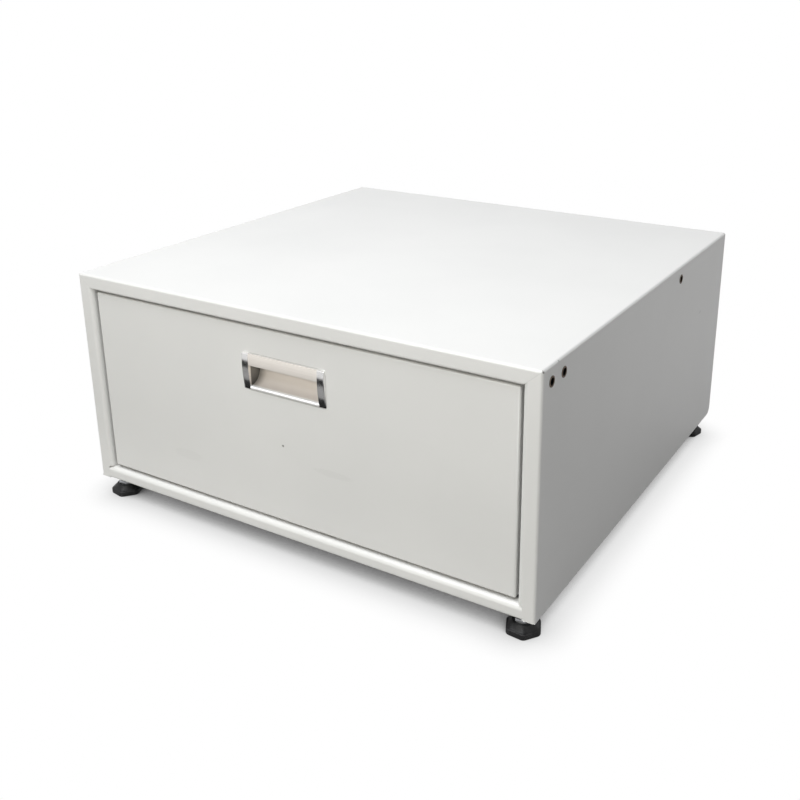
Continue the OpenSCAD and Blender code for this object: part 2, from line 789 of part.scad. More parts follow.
// Outline of an end cap: upright at the hood, curving back to the foot
module cap_outline(lap) {
    intersection() {
        translate([-hood_proud + lap, lap]) square([hood_proud - lap, handle_h - 2*lap]);
        union() {
            translate([cap_face_r - hood_proud + lap, cap_face_z]) circle(cap_face_r, $fn = 360);
            translate([-hood_proud + lap, cap_face_z]) square([hood_proud, handle_h]);
        }
        round_rect([-hood_proud + lap, -10], [10, handle_h - lap], 2);
    }
}

// Shell of the finger hollow behind the drawer front's face
module hollow_shell(r) {
    intersection() {
        translate([-hollow_axis_out, hollow_z]) circle(r, $fn = 120);
        translate([-eps, 0]) square([2*hollow_r, 3*hollow_r]);
    }
}

// Round lower lip, in front of the drawer front's face
module lip_bar() {
    intersection() {
        translate([lip_h/2 - lip_proud, cap_lap + lip_h/2]) circle(lip_h/2);
        translate([-lip_proud - 1, cap_lap]) square([lip_proud + 1, lip_h]);
    }
}

module handle_body() {
    color("silver") translate([0, y_skin, handle_z]) along_x(-body_half, body_half) difference() {
        union() {
            cap_outline(cap_lap);
            hollow_shell(hollow_r + hollow_t);
            lip_bar();
        }
        translate([-hollow_axis_out, hollow_z]) circle(hollow_r, $fn = 120);
        translate([-2*hood_proud, lip_h + cap_lap]) square([2*hood_proud - hollow_axis_out, cap_face_z - lip_h - cap_lap]);
        translate([-hood_proud + cap_lap + hood_t, cap_face_z - 1])
            square([hood_proud - cap_lap - hood_t - hollow_axis_out + eps, hood_h - hood_t - 3]);
    }
}

module handle_cap(side) {
    color("gainsboro") on_side(side) translate([0, y_skin, handle_z]) difference() {
        union() {
            along_x(-handle_len/2, -body_half) cap_outline(0);
            along_x(-body_half - tongue_w, -body_half) hollow_shell(hollow_r + hollow_t);
        }
        for (z = handle_screw_z) translate([-handle_screw_x, -handle_screw_len, z]) rotate([-90, 0, 0])
            cylinder(d = handle_screw_d + 2*hole_clear, h = handle_screw_len + 1);
    }
}

module handle_screw_holes() {
    for (s = [-1, 1], z = handle_screw_z) translate([s*handle_screw_x, y_skin - 1, handle_z + z])
        rotate([-90, 0, 0]) cylinder(d = handle_screw_d + 2*hole_clear, h = skin_t + 2);
}

module handle_screws() {
    color("silver") for (s = [-1, 1], z = handle_screw_z)
        translate([s*handle_screw_x, y_skin + skin_t, handle_z + z]) rotate([0, 0, 90])
            headed_pin(handle_screw_d, handle_head_d, screw_head_h, skin_t + handle_screw_len);
}

// ---- Feet ----

// Six-sided outline with round corners
module pad_outline() {
    d = (pad_af/2 - pad_corner_r)/cos(30);
    for (a = [0:60:120]) rotate(a) square([d, pad_af], center = true);
    for (a = [0:60:300]) rotate(a) translate([d, 0]) circle(pad_corner_r);
}

module foot_pad(i) {
    color("dimgray") translate([feet[i][0]*foot_x, feet[i][1], 0]) difference() {
        union() {
            rotate(pad_turns[i]) linear_extrude(height = pad_rim_h) pad_outline();
            rotate_extrude() polygon([[0, pad_floor], [pad_shoulder_r, pad_floor], [pad_shoulder_r, pad_rim_h],
                                      [pad_boss_d/2, pad_h], [0, pad_h]]);
        }
        translate([0, 0, pad_floor]) cylinder(d = stud_d + 2*stud_clear, h = pad_h);
    }
}

module foot_stud(i) {
    color("silver") translate([feet[i][0]*foot_x, feet[i][1], 0]) {
        translate([0, 0, pad_floor]) cylinder(d = stud_d, h = z_case + stud_rise - pad_floor);
        translate([0, 0, pad_h]) hexagon(nut_af, collar_h);
    }
}

case_top();
case_side(-1);  // case_side_left
case_side(1);  // case_side_right
frame_top_rail();
frame_stile(-1);  // frame_stile_left
frame_stile(1);  // frame_stile_right
sill(-1);  // sill_left
sill(1);  // sill_right
front_bottom_rail();
rear_bottom_rail();
back_panel();
top_stiffener(y_front + stiffener_inset);  // top_stiffener_front
top_stiffener((y_front + y_back)/2);  // top_stiffener_middle
top_stiffener(y_back - stiffener_inset);  // top_stiffener_rear
foot_plate(0);  // foot_plate_front_left
foot_plate(1);  // foot_plate_front_right
foot_plate(2);  // foot_plate_rear_left
foot_plate(3);  // foot_plate_rear_right
foot_weld_nuts();
foot_lock_nuts();
side_thread_inserts();
slide_bracket(-1);  // slide_bracket_left
slide_bracket(1);  // slide_bracket_right
slide_outer(-1);  // slide_outer_left
slide_outer(1);  // slide_outer_right
slide_rivets();
slide_middle(-1);  // slide_middle_left
slide_middle(1);  // slide_middle_right
outer_cage(-1);  // outer_cage_left
outer_cage(1);  // outer_cage_right
ball_rows(-1, outer_ball_x, outer_ball_z);  // outer_balls_left
ball_rows(1, outer_ball_x, outer_ball_z);  // outer_balls_right
inner_cage(-1);  // inner_cage_left
inner_cage(1);  // inner_cage_right
ball_rows(-1, inner_ball_x, inner_ball_z);  // inner_balls_left
ball_rows(1, inner_ball_x, inner_ball_z);  // inner_balls_right
drawer_front_skin();
drawer_front_liner();
drawer_tub();
drawer_back();
handle_body();
handle_cap(-1);  // handle_cap_left
handle_cap(1);  // handle_cap_right
handle_screws();
slide_inner(-1);  // slide_inner_left
slide_inner(1);  // slide_inner_right
drawer_slide_screws();
drawer_front_screws();
drawer_back_rivets();
foot_pad(0);  // foot_pad_front_left
foot_pad(1);  // foot_pad_front_right
foot_pad(2);  // foot_pad_rear_left
foot_pad(3);  // foot_pad_rear_right
foot_stud(0);  // foot_stud_front_left
foot_stud(1);  // foot_stud_front_right
foot_stud(2);  // foot_stud_rear_left
foot_stud(3);  // foot_stud_rear_right
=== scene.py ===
# Laundry pedestal with one wide drawer: its fine shapes, finishes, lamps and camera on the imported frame.
import json
import math
import bmesh
import bpy
import numpy as np
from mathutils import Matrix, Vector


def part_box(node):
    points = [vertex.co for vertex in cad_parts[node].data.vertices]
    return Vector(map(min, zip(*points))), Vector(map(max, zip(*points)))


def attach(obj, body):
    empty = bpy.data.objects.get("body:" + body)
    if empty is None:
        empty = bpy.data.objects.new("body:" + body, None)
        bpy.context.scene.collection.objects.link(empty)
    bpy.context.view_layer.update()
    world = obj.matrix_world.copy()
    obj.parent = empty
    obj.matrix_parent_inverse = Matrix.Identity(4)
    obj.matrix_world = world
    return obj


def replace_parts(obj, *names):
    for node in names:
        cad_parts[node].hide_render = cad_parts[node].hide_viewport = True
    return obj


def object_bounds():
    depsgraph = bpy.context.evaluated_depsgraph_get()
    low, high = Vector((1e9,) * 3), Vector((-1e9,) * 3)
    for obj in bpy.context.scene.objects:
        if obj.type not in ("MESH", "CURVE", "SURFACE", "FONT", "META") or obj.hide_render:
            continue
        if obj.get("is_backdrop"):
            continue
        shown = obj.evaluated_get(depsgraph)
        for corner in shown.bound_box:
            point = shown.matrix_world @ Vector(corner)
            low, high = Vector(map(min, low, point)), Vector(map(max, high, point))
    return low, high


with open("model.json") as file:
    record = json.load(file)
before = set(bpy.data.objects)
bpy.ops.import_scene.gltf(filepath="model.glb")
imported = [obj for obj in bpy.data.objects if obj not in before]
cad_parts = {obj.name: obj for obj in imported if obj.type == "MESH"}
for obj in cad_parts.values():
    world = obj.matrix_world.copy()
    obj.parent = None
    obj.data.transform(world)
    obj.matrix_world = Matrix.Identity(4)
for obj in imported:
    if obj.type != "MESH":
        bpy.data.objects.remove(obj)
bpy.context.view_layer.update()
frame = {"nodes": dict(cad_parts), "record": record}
nodes = frame["nodes"]
slotOf = {row["node"]: row["material_slot"] for row in frame["record"]["subparts"]}
print("frame loaded with", len(nodes), "nodes")

mm = 0.001
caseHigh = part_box("case_top")[1]
topZ, sideX, rearY = caseHigh.z, caseHigh.x, caseHigh.y
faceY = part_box("frame_stile_left")[0].y         # front of the frame
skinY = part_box("drawer_front_skin")[0].y        # front of the drawer
pullLow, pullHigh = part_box("handle_cap_left")[0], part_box("handle_cap_right")[1]


# helpers that add shader nodes to a material's tree

def startMaterial(name):
    material = bpy.data.materials.new(name)
    material.use_nodes = True
    tree = material.node_tree
    place = tree.nodes.new("ShaderNodeTexCoord").outputs["Object"]
    return material, tree, tree.nodes["Principled BSDF"], place


def stretched(tree, place, scale):
    # the piece's own coordinates, stretched for a grain
    mapping = tree.nodes.new("ShaderNodeMapping")
    tree.links.new(place, mapping.inputs["Vector"])
    mapping.inputs["Scale"].default_value = scale
    return mapping.outputs["Vector"]


def axes(tree, place):
    # the coordinates one by one, under the names X, Y and Z
    parts = tree.nodes.new("ShaderNodeSeparateXYZ")
    tree.links.new(place, parts.inputs["Vector"])
    return parts.outputs


def noise(tree, place, scale, detail, roughness=0.5):
    texture = tree.nodes.new("ShaderNodeTexNoise")
    tree.links.new(place, texture.inputs["Vector"])
    texture.inputs["Scale"].default_value = scale
    texture.inputs["Detail"].default_value = detail
    texture.inputs["Roughness"].default_value = roughness
    return texture.outputs["Fac"]


def spread(tree, value, low, high, fromLow=0.0, fromHigh=1.0, smooth=False):
    # the value's range fromLow..fromHigh laid over low..high
    ramp = tree.nodes.new("ShaderNodeMapRange")
    ramp.interpolation_type = "SMOOTHSTEP" if smooth else "LINEAR"
    tree.links.new(value, ramp.inputs["Value"])
    limits = {"From Min": fromLow, "From Max": fromHigh, "To Min": low, "To Max": high}
    for key, number in limits.items():
        ramp.inputs[key].default_value = number
    return ramp.outputs["Result"]


def rise(tree, value, low, high, origin=0.0, smooth=False):
    # 0 below low and 1 above high, both counted from the origin
    return spread(tree, value, 0, 1, origin + low, origin + high, smooth)


def fall(tree, value, low, high, origin=0.0, smooth=False):
    # 1 below low and 0 above high, both counted from the origin
    return spread(tree, value, 1, 0, origin + low, origin + high, smooth)


def combined(tree, operation, a, b):
    sums = tree.nodes.new("ShaderNodeMath")
    sums.operation = operation
    for socket, value in ((sums.inputs[0], a), (sums.inputs[1], b)):
        if isinstance(value, (int, float)):
            socket.default_value = value
        else:
            tree.links.new(value, socket)
    return sums.outputs["Value"]


def mixed(tree, share, colourA, colourB):
    mix = tree.nodes.new("ShaderNodeMix")
    mix.data_type = "RGBA"
    tree.links.new(share, mix.inputs["Factor"])
    for key, value in (("A", colourA), ("B", colourB)):
        socket = [s for s in mix.inputs if s.name == key and s.type == "RGBA"][0]
        if isinstance(value, (tuple, list)):
            socket.default_value = (*value, 1)
        else:
            tree.links.new(value, socket)
    return [s for s in mix.outputs if s.type == "RGBA"][0]


def bumped(tree, shader, height, strength, distance):
    bump = tree.nodes.new("ShaderNodeBump")
    bump.inputs["Strength"].default_value = strength
    bump.inputs["Distance"].default_value = distance
    tree.links.new(height, bump.inputs["Height"])
    tree.links.new(bump.outputs["Normal"], shader.inputs["Normal"])


def vectorMath(tree, operation, vector, other=(0, 0, 0)):
    step = tree.nodes.new("ShaderNodeVectorMath")
    step.operation = operation
    tree.links.new(vector, step.inputs[0])
    step.inputs[1].default_value = other
    return step.outputs


markShape = {"core": 0.7, "ragged": 0.5, "raggedScale": 900}


def spot(tree, place, at, radius, stretch):
    # a small ragged blot: the stretched distance from its middle, made uneven by a noise of up to half the
    # radius either way, gives 1 within 0.7 of the radius and 0 past it
    offset = vectorMath(tree, "SUBTRACT", place, at)["Vector"]
    scaled = vectorMath(tree, "MULTIPLY", offset, stretch)["Vector"]
    far = vectorMath(tree, "LENGTH", scaled)["Value"]
    ragged = radius * markShape["ragged"]
    uneven = spread(tree, noise(tree, place, markShape["raggedScale"], 3), -ragged, ragged)
    far = combined(tree, "ADD", far, uneven)
    return fall(tree, far, radius * markShape["core"], radius, smooth=True)


lineShape = {"core": 0.2, "edge": 0.5, "endFade": 0.001, "share": 0.35, "depth": 4.0}


def lineMask(tree, place, start, end, width):
    # a line between two points of the (x, z) plane: the distance from it is the point's product with its
    # normal, and the place along it the product with its direction; 1 on it, 0 past half the width
    at = axes(tree, place)

    def product(towardsX, towardsZ):
        return combined(tree, "ADD", combined(tree, "MULTIPLY", at["X"], towardsX),
                        combined(tree, "MULTIPLY", at["Z"], towardsZ))

    dx, dz = end[0] - start[0], end[1] - start[1]
    length = math.hypot(dx, dz)
    dx, dz = dx / length, dz / length
    away = combined(tree, "SUBTRACT", product(-dz, dx), dx * start[1] - dz * start[0])
    away = combined(tree, "ABSOLUTE", away, 0)
    near = fall(tree, away, width * lineShape["core"], width * lineShape["edge"], smooth=True)
    along, begin, fade = product(dx, dz), start[0] * dx + start[1] * dz, lineShape["endFade"]
    within = combined(tree, "MULTIPLY", rise(tree, along, -fade, fade, begin),
                      fall(tree, along, -fade, fade, begin + length))
    return combined(tree, "MULTIPLY", near, within)


# finishes: one for each of the record's slots

enamelLook = {
    "base": (0.815, 0.812, 0.800),              # off-white powder coat
    "shade": (0.785, 0.783, 0.772),             # its faint cloudiness
    "cloudScale": 5, "cloud": (0.35, 0.65),
    "glossScale": 26, "roughness": (0.30, 0.38),
    "coat": 0.15, "coatRoughness": 0.12,
    "peelScale": 420,                           # orange peel, a little over 2 mm across
    "peelBump": (0.35, 0.00003),
    "chip": (0.16, 0.15, 0.145),
    "weld": (0.60, 0.60, 0.60),
}


def whiteEnamel(name, tint=1.0, marks=(), seamAndShadowLines=(), seamAndShadowTone=enamelLook["weld"]):
    # powder coat with a faint cloud and orange peel, and with marks, seam lines and painted shadow lines
    # mixed over it
    material, tree, shader, place = startMaterial(name)
    look = enamelLook
    base, shade = [tuple(c * tint for c in look[key]) for key in ("base", "shade")]
    cloud = rise(tree, noise(tree, place, look["cloudScale"], 3), *look["cloud"])
    colour = mixed(tree, cloud, base, shade)
    for at, radius, stretch, strength, tone in marks:
        blot = combined(tree, "MULTIPLY", spot(tree, place, at, radius, stretch), strength)
        colour = mixed(tree, blot, colour, tone)
    height = noise(tree, place, look["peelScale"], 2, 0.4)
    # seams, and painted shadow lines where they are given, each as a darker line with a groove
    for start, end, width in seamAndShadowLines:
        line = lineMask(tree, place, start, end, width)
        colour = mixed(tree, combined(tree, "MULTIPLY", line, lineShape["share"]), colour, seamAndShadowTone)
        groove = combined(tree, "MULTIPLY", line, lineShape["depth"])
        height = combined(tree, "SUBTRACT", height, groove)
    gloss = noise(tree, place, look["glossScale"], 3)
    tree.links.new(colour, shader.inputs["Base Color"])
    tree.links.new(spread(tree, gloss, *look["roughness"]), shader.inputs["Roughness"])
    shader.inputs["Coat Weight"].default_value = look["coat"]
    shader.inputs["Coat Roughness"].default_value = look["coatRoughness"]
    bumped(tree, shader, height, *look["peelBump"])
    return material


sheetLook = {
    "base": (0.56, 0.57, 0.58), "light": (0.66, 0.67, 0.68),
    "spangle": 150,                             # cells about 7 mm across
    "mottleScale": 40, "mottle": (0.05, 0.6),
    "roughness": (0.36, 0.5), "metallic": 0.85, "bump": (0.12, 0.00005),
}


def galvanisedSheet(name):
    # zinc spangle: each cell has its own grey, its own gloss and its own height
    material, tree, shader, place = startMaterial(name)
    look = sheetLook
    grains = tree.nodes.new("ShaderNodeTexVoronoi")
    tree.links.new(place, grains.inputs["Vector"])
    grains.inputs["Scale"].default_value = look["spangle"]
    own = tree.nodes.new("ShaderNodeSeparateColor")
    tree.links.new(grains.outputs["Color"], own.inputs["Color"])
    mottle = noise(tree, place, look["mottleScale"], 3)
    cloud = rise(tree, combined(tree, "MULTIPLY", own.outputs["Red"], mottle), *look["mottle"])
    tree.links.new(mixed(tree, cloud, look["base"], look["light"]), shader.inputs["Base Color"])
    tree.links.new(spread(tree, own.outputs["Green"], *look["roughness"]), shader.inputs["Roughness"])
    shader.inputs["Metallic"].default_value = look["metallic"]
    bumped(tree, shader, own.outputs["Blue"], *look["bump"])
    return material


steels = {
    # colour, roughness, stretch of the fine grain, scale of the grain
    "brightZinc": ((0.66, 0.67, 0.69), 0.30, (1, 1, 1), 120),
    "slideSteel": ((0.62, 0.63, 0.65), 0.28, (1, 0.03, 1), 300),        # drawn along its length
    "cageSteel": ((0.50, 0.51, 0.52), 0.34, (1, 1, 1), 120),
    "ballSteel": ((0.72, 0.72, 0.73), 0.10, (1, 1, 1), 120),
}
steelLook = {
    "stain": 0.85, "stainScale": 30, "cloud": (0.35, 0.7),
    "roughnessShare": (0.8, 1.25), "bump": (0.25, 0.00002),
}


def platedSteel(name):
    # plating with a soft cloud of stain and a fine grain
    material, tree, shader, place = startMaterial(name)
    look = steelLook
    base, roughness, grain, scale = steels[name]
    stainAndShade = tuple(c * look["stain"] for c in base)
    cloud = rise(tree, noise(tree, place, look["stainScale"], 4), *look["cloud"])
    tree.links.new(mixed(tree, cloud, base, stainAndShade), shader.inputs["Base Color"])
    fine = noise(tree, stretched(tree, place, grain), scale, 3)
    least, most = [roughness * share for share in look["roughnessShare"]]
    tree.links.new(spread(tree, fine, least, most), shader.inputs["Roughness"])
    shader.inputs["Metallic"].default_value = 1.0
    bumped(tree, shader, fine, *look["bump"])
    return material


insertLook = {
    # the bore's near black is painted shade inside the hole, and the rim's dark tones are partly painted
    # shade
    "rim": (0.17, 0.13, 0.10), "rimShade": (0.10, 0.08, 0.065), "bore": (0.006, 0.005, 0.005),
    "cloudScale": 500, "cloud": (0.35, 0.7), "roughness": (0.40, 0.65),
    "proud": (0.0001, 0.0003),                  # out from the side's face, where the rim's tone sets in
}


def dimInsert(name):
    # dark plated rim, its tone partly painted shade, and a bore painted near black as the shade inside the
    # hole behind the side's face
    material, tree, shader, place = startMaterial(name)
    look = insertLook
    cloud = noise(tree, place, look["cloudScale"], 3)
    rim = mixed(tree, rise(tree, cloud, *look["cloud"]), look["rim"], look["rimShade"])
    outwards = combined(tree, "ABSOLUTE", axes(tree, place)["X"], 0)
    outside = rise(tree, outwards, *look["proud"], sideX)
    # painted shade: near black and not metallic inside the hole, the rim's tone outside it
    tree.links.new(mixed(tree, outside, look["bore"], rim), shader.inputs["Base Color"])
    tree.links.new(spread(tree, cloud, *look["roughness"]), shader.inputs["Roughness"])
    tree.links.new(outside, shader.inputs["Metallic"])
    shader.inputs["Specular IOR Level"].default_value = 0.0
    return material


satinLook = {
    "warm": (0.82, 0.775, 0.735), "warmShade": (0.74, 0.70, 0.66),      # face of the hood
    # the hollow's tone and the near black under the hood are painted shade behind the drawer's face
    "hollow": (0.74, 0.68, 0.62), "underHood": (0.24, 0.22, 0.20),      # behind the drawer's face
    "lip": (0.95, 0.95, 0.95),
    "grain": (6, 900, 900), "grainRange": (0.3, 0.7), "roughness": (0.44, 0.60),
    "metallic": 0.5, "bump": (0.2, 0.00003),
    "shadeUp": (0.019, 0.0285),                 # up from the pull's foot, where the hollow darkens
    "shadeLeft": (0.009, 0.020), "shadeLeftShare": 0.6,                 # the same from its left end
    "inwards": (-0.0016, 0.0004),               # back from the drawer's face, where the hollow begins
    "lipTop": (0.0040, 0.0044),                 # up from the pull's foot, where the lip ends
}


def satinHandle(name):
    # warm satin metal with a grain along the pull, with painted shade in the hollow, darkest under the hood
    # and towards its left end, and paler on the lip
    material, tree, shader, place = startMaterial(name)
    look, at = satinLook, axes(tree, place)
    grain = noise(tree, stretched(tree, place, look["grain"]), 1.0, 4, 0.6)
    colour = mixed(tree, rise(tree, grain, *look["grainRange"]), look["warm"], look["warmShade"])
    # painted shade: darkest high under the hood and at the left end, and the whole hollow darker than the
    # face
    stainAndShade = rise(tree, at["Z"], *look["shadeUp"], pullLow.z, smooth=True)
    corner = fall(tree, at["X"], *look["shadeLeft"], pullLow.x, smooth=True)
    corner = combined(tree, "MULTIPLY", corner, look["shadeLeftShare"])
    hollow = mixed(tree, combined(tree, "MAXIMUM", stainAndShade, corner), look["hollow"], look["underHood"])
    colour = mixed(tree, rise(tree, at["Y"], *look["inwards"], skinY), colour, hollow)
    colour = mixed(tree, fall(tree, at["Z"], *look["lipTop"], pullLow.z), colour, look["lip"])
    tree.links.new(colour, shader.inputs["Base Color"])
    tree.links.new(spread(tree, grain, *look["roughness"]), shader.inputs["Roughness"])
    shader.inputs["Metallic"].default_value = look["metallic"]
    bumped(tree, shader, grain, *look["bump"])
    return material


chromeLook = {
    # behind: a dark grey painted as shade on the caps' tongues inside the hollow
    "bright": (0.94, 0.93, 0.92), "hazy": (0.86, 0.855, 0.85), "behind": (0.22, 0.22, 0.215),
    "hazeScale": 160, "haze": (0.4, 0.8), "roughness": (0.07, 0.16), "bump": (0.1, 0.00001),
    "inwards": (0.0002, 0.0008),                # back from the drawer's face, where the painted shade sets in
}


def brightChrome(name):
    # polished plating with a slight haze, and painted shade where it runs behind the drawer's face
    material, tree, shader, place = startMaterial(name)
    look = chromeLook
    haze = noise(tree, place, look["hazeScale"], 4)
    bright = mixed(tree, rise(tree, haze, *look["haze"]), look["bright"], look["hazy"])
    # painted shade behind the drawer's face
    behind = rise(tree, axes(tree, place)["Y"], *look["inwards"], skinY)
    tree.links.new(mixed(tree, behind, bright, look["behind"]), shader.inputs["Base Color"])
    tree.links.new(spread(tree, haze, *look["roughness"]), shader.inputs["Roughness"])
    shader.inputs["Metallic"].default_value = 1.0
    bumped(tree, shader, haze, *look["bump"])
    return material


plasticLook = {
    "base": (0.010, 0.010, 0.011), "scuffed": (0.032, 0.032, 0.034),
    "scuffScale": 120, "scuff": (0.52, 0.75), "roughness": (0.45, 0.66),
    "specular": 0.28, "grainScale": 1500, "bump": (0.3, 0.00004),
}


def blackPlastic(name):
    # moulded plastic: a fine spark-eroded texture with paler scuffs
    material, tree, shader, place = startMaterial(name)
    look = plasticLook
    grain = noise(tree, place, look["grainScale"], 3, 0.6)
    scuff = rise(tree, noise(tree, place, look["scuffScale"], 5, 0.65), *look["scuff"])
    tree.links.new(mixed(tree, scuff, look["base"], look["scuffed"]), shader.inputs["Base Color"])
    tree.links.new(spread(tree, scuff, *look["roughness"]), shader.inputs["Roughness"])
    shader.inputs["Specular IOR Level"].default_value = look["specular"]
    bumped(tree, shader, grain, *look["bump"])
    return material


caseMarks = [
    # place, radius, stretch, strength and tone of two chips and a rub
    ((0.3000, faceY + 0.0335, topZ - 0.001), 0.0016, (1, 1, 1), 0.55, enamelLook["chip"]),
    ((0.2995, faceY + 0.0015, topZ - 0.001), 0.0020, (1, 1, 1), 0.8, enamelLook["chip"]),
    ((0.3000, faceY + 0.48325, 0.2029), 0.0035, (1, 0.6, 1.6), 0.18, (0.35, 0.35, 0.34)),
]
frontMarks = [
    # the same for a chip and two faint stains on the drawer's face
    ((-0.0064, faceY + 0.004, 0.137), 0.0016, (1, 1, 1), 0.85, (0.18, 0.17, 0.16)),
    ((0.060, faceY + 0.004, 0.120), 0.010, (0.35, 1, 2.2), 0.10, (0.52, 0.52, 0.50)),
    ((-0.150, faceY + 0.004, 0.090), 0.012, (0.5, 1, 1.7), 0.08, (0.52, 0.52, 0.50)),
]
pullShadowLines = [
    # start, end and width of the fine lines of painted shadow above the hood and under the lip
    ((pullLow.x + 0.002, z), (pullHigh.x - 0.002, z), width)
    for z, width in ((pullHigh.z + 0.0004, 0.0016), (pullLow.z - 0.0006, 0.0020))
]
# grey of those painted shadow lines
pullShadowTone = (0.25, 0.25, 0.25)
frameSeams = [
    # the same for the mitres in the frame's upper corners
    ((side * 0.300, topZ), (side * 0.280, topZ - 0.0175), width)
    for side, width in ((1, 0.0010), (-1, 0.0006))
]
tubTint = 0.97

finish = {
    "white_enamel_case": whiteEnamel("whiteEnamelCase", 1.0, caseMarks, frameSeams),
    # the drawer's face carries the painted shadow lines round the pull
    "white_enamel_front": whiteEnamel("whiteEnamelFront", 1.0, frontMarks, pullShadowLines, pullShadowTone),
    "white_enamel_tub": whiteEnamel("whiteEnamelTub", tubTint),
    "galvanised_sheet": galvanisedSheet("galvanisedSheet"),
    "bright_zinc": platedSteel("brightZinc"),
    "yellow_zinc": dimInsert("yellowZinc"),
    "slide_steel": platedSteel("slideSteel"),
    "cage_steel": platedSteel("cageSteel"),
    "ball_steel": platedSteel("ballSteel"),
    "handle_satin": satinHandle("handleSatin"),
    "handle_chrome": brightChrome("handleChrome"),
    "black_foot_plastic": blackPlastic("blackFootPlastic"),
}
for nodeName, piece in nodes.items():
    piece.data.materials.clear()
    piece.data.materials.append(finish[slotOf[nodeName]])
print("finishes made:", len(finish))


# helpers that make and settle a piece; the distances within which its points merge are in metres

mergeOwn, mergeCad = 1e-6, 2e-6


def placed(name, data):
    piece = bpy.data.objects.new(name, data)
    bpy.context.scene.collection.objects.link(piece)
    return piece


def settle(piece, body, slot, angle):
    # smooth within the angle, flat faces kept flat, and the piece rides on its body
    piece.data.shade_smooth()
    piece.data.set_sharp_from_angle(angle=math.radians(angle))
    steady = piece.modifiers.new("steadyNormals", "WEIGHTED_NORMAL")
    steady.keep_sharp = True
    piece.data.materials.clear()
    piece.data.materials.append(finish[slot])
    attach(piece, body)
    return piece


def pieceFrom(name, points, faces, body, slot, angle):
    # one piece from arrays of points and faces, its doubles merged and its faces turned outwards
    mesh = bpy.data.meshes.new(name)
    mesh.from_pydata(points.reshape(-1, 3).tolist(), [], faces)
    work = bmesh.new()
    work.from_mesh(mesh)
    bmesh.ops.remove_doubles(work, verts=work.verts, dist=mergeOwn)
    bmesh.ops.recalc_face_normals(work, faces=work.faces)
    work.to_mesh(mesh)
    work.free()
    return settle(placed(name, mesh), body, slot, angle)


def mergedCopy(mesh):
    # a mesh for editing, with its doubles merged
    work = bmesh.new()
    work.from_mesh(mesh)
    bmesh.ops.remove_doubles(work, verts=work.verts, dist=mergeCad)
    return work


def gridFaces(rows, columns, wrap=False):
    # quads of a stack of closed rings; wrap joins the last ring to the first as well
    r = np.arange(rows if wrap else rows - 1)[:, None]
    c = np.arange(columns)[None, :]
    up, on = (r + 1) % rows, (c + 1) % columns
    quads = np.stack([r * columns + c, r * columns + on, up * columns + on, up * columns + c], -1)
    return quads.reshape(-1, 4).tolist()


def closedTube(rings):
    # faces of a stack of closed rings, with a flat face over each end
    rows, columns = rings.shape[:2]
    first, last = list(range(columns)), list(range((rows - 1) * columns, rows * columns))
    return gridFaces(rows, columns) + [first[::-1], last]


def joined(parts):
    # several (points, faces) pairs as one pair
    points, faces, start = [], [], 0
    for some, quads in parts:
        flat = np.asarray(some, float).reshape(-1, 3)
        points.append(flat)
        faces += [[i + start for i in face] for face in quads]
        start += len(flat)
    return np.concatenate(points), faces


def arc(centre, radius, start, end, count):
    # points at even steps of the angle, in degrees
    turn = np.radians(np.linspace(start, end, count))
    return np.stack([centre[0] + radius * np.cos(turn), centre[1] + radius * np.sin(turn)], 1)


def fullTurn(columns):
    return np.linspace(0, 2 * np.pi, columns, endpoint=False)


def unit(vectors):
    return vectors / np.maximum(np.linalg.norm(vectors, axis=1)[:, None], 1e-12)


def shrunk(loop, amount):
    # the outline moved inwards by the amount along the mean of its two neighbouring edges' normals
    tangent = unit(unit(np.roll(loop, -1, 0) - loop) + unit(loop - np.roll(loop, 1, 0)))
    normal = np.stack([-tangent[:, 1], tangent[:, 0]], 1)
    area = (loop[:, 0] * np.roll(loop[:, 1], -1) - np.roll(loop[:, 0], -1) * loop[:, 1]).sum()
    return loop + normal * amount * np.sign(area)


def smoothCopies(name, nodeNames, body, slot, angle=30):
    # CAD nodes as one merged piece whose round bends are shaded round
    parts = []
    for nodeName in nodeNames:
        work = mergedCopy(nodes[nodeName].data)
        work.verts.ensure_lookup_table()
        points = np.array([v.co for v in work.verts], float)
        parts.append((points, [[v.index for v in face.verts] for face in work.faces]))
        work.free()
    points, faces = joined(parts)
    mesh = bpy.data.meshes.new(name)
    mesh.from_pydata(points.tolist(), [], faces)
    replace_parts(settle(placed(name, mesh), body, slot, angle), *nodeNames)


# case and drawer box

wrapShape = {"flat": 0.5, "smooth": 35}         # degrees: faces merged into one, bends shaded round


def weldedCase(nodeNames):
    # the top, sides and frame joined by a union, so that no seam shows where they meet
    base = None
    for nodeName in nodeNames:
        work = mergedCopy(nodes[nodeName].data)
        mesh = bpy.data.meshes.new(nodeName + "Weld")
        work.to_mesh(mesh)
        work.free()
        part = placed(nodeName + "Weld", mesh)
        if base is None:
            base = part
            continue
        union = base.modifiers.new("weld", "BOOLEAN")
        union.operation = "UNION"
        union.solver = "MANIFOLD"
        union.object = part
        bpy.context.view_layer.update()
        evaluated = base.evaluated_get(bpy.context.evaluated_depsgraph_get())
        welded = bpy.data.meshes.new_from_object(evaluated)
        base.modifiers.clear()
        base.data = welded
        bpy.data.objects.remove(part)
    work = mergedCopy(base.data)
    bmesh.ops.dissolve_limit(work, angle_limit=math.radians(wrapShape["flat"]),
                             verts=work.verts, edges=work.edges)
    work.to_mesh(base.data)
    work.free()
    base.name = "caseWrap"
    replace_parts(settle(base, "case", "white_enamel_case", wrapShape["smooth"]), *nodeNames)


